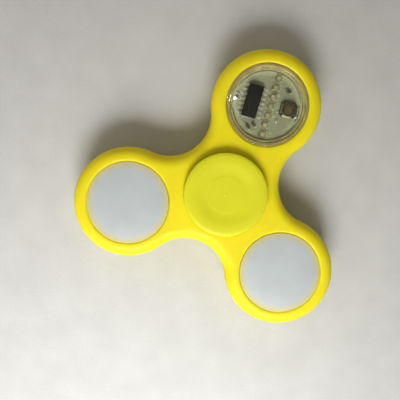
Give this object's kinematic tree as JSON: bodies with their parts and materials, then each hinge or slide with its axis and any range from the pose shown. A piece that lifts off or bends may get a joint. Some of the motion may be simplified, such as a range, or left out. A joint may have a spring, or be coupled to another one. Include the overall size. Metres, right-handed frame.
{
  "type": "fidget spinner",
  "caption": "Three-lobed light-up fidget spinner: rounded plastic frame on a ball bearing with dished finger caps, and a pressable light module in each lobe.",
  "frame": {"origin": "centre of the ball bearing, which is also the centre of mass: on the spin axis, halfway between the two finger caps", "axes": "+Z along the spin axis, out of the lit front face; the lobe with the clear message module lies along +Y; +X to the right seen from the front"},
  "size_m": [0.075, 0.069, 0.015],
  "materials": {
    "frame_plastic": "satin",
    "cap_plastic": "satin",
    "milky_plastic": "satin",
    "clear_plastic": "gloss",
    "circuit_board": "satin",
    "chip_epoxy": "matte",
    "lamp_lens": "gloss",
    "switch_body": "satin",
    "switch_plunger": "satin",
    "resistor": "gloss",
    "capacitor": "satin",
    "bearing_steel": "polished",
    "cage_nylon": "satin",
    "cell_can": "satin",
    "nickel_strip": "satin"
  },
  "bodies": {
    "hub": {"finger_cap_top": "cap_plastic", "finger_cap_bottom": "cap_plastic", "bearing_inner_ring": "bearing_steel"},
    "rotor": {"spinner_frame": "frame_plastic", "bearing_outer_ring": "bearing_steel", "message_housing": "milky_plastic", "message_board": "circuit_board", "message_switch_base": "switch_body", "message_cell_1": "cell_can", "message_cell_2": "cell_can", "message_cell_3": "cell_can", "message_contact_strip": "nickel_strip", "flash_a_housing": "milky_plastic", "flash_a_board": "circuit_board", "flash_a_switch_base": "switch_body", "flash_a_cell_1": "cell_can", "flash_a_cell_2": "cell_can", "flash_a_cell_3": "cell_can", "flash_a_contact_strip": "nickel_strip", "flash_b_housing": "milky_plastic", "flash_b_board": "circuit_board", "flash_b_switch_base": "switch_body", "flash_b_cell_1": "cell_can", "flash_b_cell_2": "cell_can", "flash_b_cell_3": "cell_can", "flash_b_contact_strip": "nickel_strip", "message_board_contact": "nickel_strip", "message_chip": "chip_epoxy", "message_led_1": "lamp_lens", "message_led_2": "lamp_lens", "message_led_3": "lamp_lens", "message_led_4": "lamp_lens", "message_led_5": "lamp_lens", "message_led_6": "lamp_lens", "message_led_7": "lamp_lens", "message_resistor_1": "resistor", "message_resistor_2": "resistor", "message_resistor_3": "resistor", "message_capacitor": "capacitor", "flash_a_led_red": "lamp_lens", "flash_a_led_green": "lamp_lens", "flash_a_led_blue": "lamp_lens", "flash_b_led_red": "lamp_lens", "flash_b_led_green": "lamp_lens", "flash_b_led_blue": "lamp_lens"},
    "cage": {"bearing_cage": "cage_nylon"},
    "ball_1": {"bearing_ball_1": "bearing_steel"},
    "ball_2": {"bearing_ball_2": "bearing_steel"},
    "ball_3": {"bearing_ball_3": "bearing_steel"},
    "ball_4": {"bearing_ball_4": "bearing_steel"},
    "ball_5": {"bearing_ball_5": "bearing_steel"},
    "ball_6": {"bearing_ball_6": "bearing_steel"},
    "ball_7": {"bearing_ball_7": "bearing_steel"},
    "message_button": {"message_lens": "clear_plastic"},
    "message_plunger": {"message_switch_plunger": "switch_plunger"},
    "flash_a_button": {"flash_a_lens": "milky_plastic"},
    "flash_a_plunger": {"flash_a_switch_plunger": "switch_plunger"},
    "flash_b_button": {"flash_b_lens": "milky_plastic"},
    "flash_b_plunger": {"flash_b_switch_plunger": "switch_plunger"}
  },
  "joints": [
    {"name": "rotor_spin", "type": "hinge", "parent": "hub", "child": "rotor", "pos_m": [0, 0, 0], "axis": [0, 0, 1], "continuous": true},
    {"name": "cage_orbit", "type": "hinge", "parent": "hub", "child": "cage", "pos_m": [0, 0, 0], "axis": [0, 0, 1], "continuous": true},
    {"name": "ball_1_roll", "type": "hinge", "parent": "cage", "child": "ball_1", "pos_m": [0.0075, 0, 0], "axis": [0, 0, 1], "continuous": true},
    {"name": "ball_2_roll", "type": "hinge", "parent": "cage", "child": "ball_2", "pos_m": [0.00468, 0.00586, 0], "axis": [0, 0, 1], "continuous": true},
    {"name": "ball_3_roll", "type": "hinge", "parent": "cage", "child": "ball_3", "pos_m": [-0.00167, 0.00731, 0], "axis": [0, 0, 1], "continuous": true},
    {"name": "ball_4_roll", "type": "hinge", "parent": "cage", "child": "ball_4", "pos_m": [-0.00676, 0.00325, 0], "axis": [0, 0, 1], "continuous": true},
    {"name": "ball_5_roll", "type": "hinge", "parent": "cage", "child": "ball_5", "pos_m": [-0.00676, -0.00325, 0], "axis": [0, 0, 1], "continuous": true},
    {"name": "ball_6_roll", "type": "hinge", "parent": "cage", "child": "ball_6", "pos_m": [-0.00167, -0.00731, 0], "axis": [0, 0, 1], "continuous": true},
    {"name": "ball_7_roll", "type": "hinge", "parent": "cage", "child": "ball_7", "pos_m": [0.00468, -0.00586, 0], "axis": [0, 0, 1], "continuous": true},
    {"name": "message_press", "type": "slide", "parent": "rotor", "child": "message_button", "axis": [0, 0, -1], "range_m": [0, 0.00025], "stiffness_N_per_m": 4000, "springref_m": -0.00015},
    {"name": "message_switch_travel", "type": "slide", "parent": "rotor", "child": "message_plunger", "axis": [0, 0, -1], "range_m": [0, 0.00025]},
    {"name": "flash_a_press", "type": "slide", "parent": "rotor", "child": "flash_a_button", "axis": [0, 0, -1], "range_m": [0, 0.00025], "stiffness_N_per_m": 4000, "springref_m": -0.00015},
    {"name": "flash_a_switch_travel", "type": "slide", "parent": "rotor", "child": "flash_a_plunger", "axis": [0, 0, -1], "range_m": [0, 0.00025]},
    {"name": "flash_b_press", "type": "slide", "parent": "rotor", "child": "flash_b_button", "axis": [0, 0, -1], "range_m": [0, 0.00025], "stiffness_N_per_m": 4000, "springref_m": -0.00015},
    {"name": "flash_b_switch_travel", "type": "slide", "parent": "rotor", "child": "flash_b_plunger", "axis": [0, 0, -1], "range_m": [0, 0.00025]}
  ],
  "couplings": [
    {"joint": "cage_orbit", "follows": "rotor_spin", "ratio": 0.63227},
    {"joint": "ball_1_roll", "follows": "rotor_spin", "ratio": 1.7578},
    {"joint": "ball_2_roll", "follows": "rotor_spin", "ratio": 1.7578},
    {"joint": "ball_3_roll", "follows": "rotor_spin", "ratio": 1.7578},
    {"joint": "ball_4_roll", "follows": "rotor_spin", "ratio": 1.7578},
    {"joint": "ball_5_roll", "follows": "rotor_spin", "ratio": 1.7578},
    {"joint": "ball_6_roll", "follows": "rotor_spin", "ratio": 1.7578},
    {"joint": "ball_7_roll", "follows": "rotor_spin", "ratio": 1.7578},
    {"joint": "message_switch_travel", "follows": "message_press", "ratio": 1},
    {"joint": "flash_a_switch_travel", "follows": "flash_a_press", "ratio": 1},
    {"joint": "flash_b_switch_travel", "follows": "flash_b_press", "ratio": 1}
  ]
}
